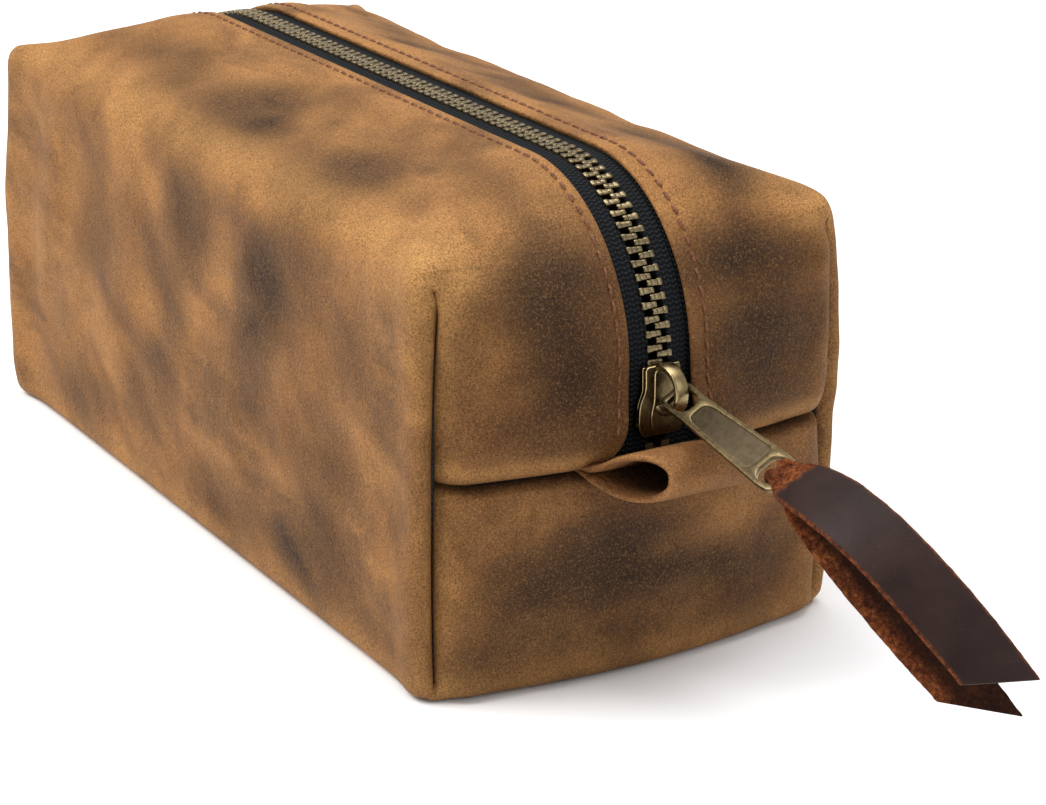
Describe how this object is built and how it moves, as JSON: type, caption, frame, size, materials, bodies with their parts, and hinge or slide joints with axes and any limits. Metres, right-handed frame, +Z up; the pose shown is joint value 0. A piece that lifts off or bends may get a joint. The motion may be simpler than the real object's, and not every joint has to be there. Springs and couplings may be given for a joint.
{
  "type": "shaving kit bag",
  "caption": "Boxed leather toiletry bag with a full-length metal zip over the top and down the ends, a leather pull strap and a loop tab on one end.",
  "frame": {"origin": "middle of the flat base", "axes": "+X along the length, out of the end where the closed slider sits; +Z up"},
  "size_m": [0.3861, 0.119, 0.121],
  "materials": {
    "leather": "waxed pull-up leather, matte, mottled and worn lighter on the edges",
    "lining": "plain woven cotton lining",
    "zip_tape": "black herringbone woven tape",
    "zip_metal": "antique brass, darkened in the recesses",
    "slider_metal": "antique brass, darkened with bright edges",
    "puller_metal": "antique brass, brushed raised rim",
    "strap_leather": "dark chestnut grain side, orange-brown suede back and edges",
    "thread": "waxed reddish-brown thread",
    "binding": "woven binding tape"
  },
  "bodies": {
    "bag": {"leather_wrap": "leather", "lining": "lining", "zip_tape_left": "zip_tape", "zip_tape_right": "zip_tape", "zip_teeth_left": "zip_metal", "zip_teeth_right": "zip_metal", "zip_top_stops": "zip_metal", "zip_bottom_stop": "zip_metal", "topstitch_left": "thread", "topstitch_right": "thread", "front_end_binding": "binding", "front_corner_bindings": "binding", "rear_end_binding": "binding", "rear_corner_bindings": "binding"},
    "slider": {"slider_body": "slider_metal", "slider_crown": "slider_metal", "slider_lock_spring": "slider_metal"},
    "puller": {"puller": "puller_metal"},
    "strap": {"pull_strap": "strap_leather"},
    "tab": {"front_loop_tab": "leather"}
  },
  "joints": [
    {"name": "slider_travel", "type": "hinge", "parent": "bag", "child": "slider", "pos_m": [0.09, 0, 0.076], "axis": [0, -1, 0], "range_deg": [0, 97], "deforming": ["zip_teeth_left", "zip_teeth_right", "zip_tape_left", "zip_tape_right"]},
    {"name": "puller_swing", "type": "hinge", "parent": "slider", "child": "puller", "pos_m": [0.1378, 0, 0.073], "axis": [0, -1, 0], "range_deg": [0, 70]},
    {"name": "strap_bend", "type": "hinge", "parent": "puller", "child": "strap", "pos_m": [0.18325, 0, 0.06661], "axis": [-0.0738, -0.848, -0.5248], "range_deg": [-40, 15]},
    {"name": "tab_bend", "type": "hinge", "parent": "bag", "child": "tab", "pos_m": [0.1369, 0, 0.0545], "axis": [0, 1, 0], "range_deg": [0, 50], "stiffness_Nm_per_rad": 0.02, "springref_deg": -2.86}
  ]
}
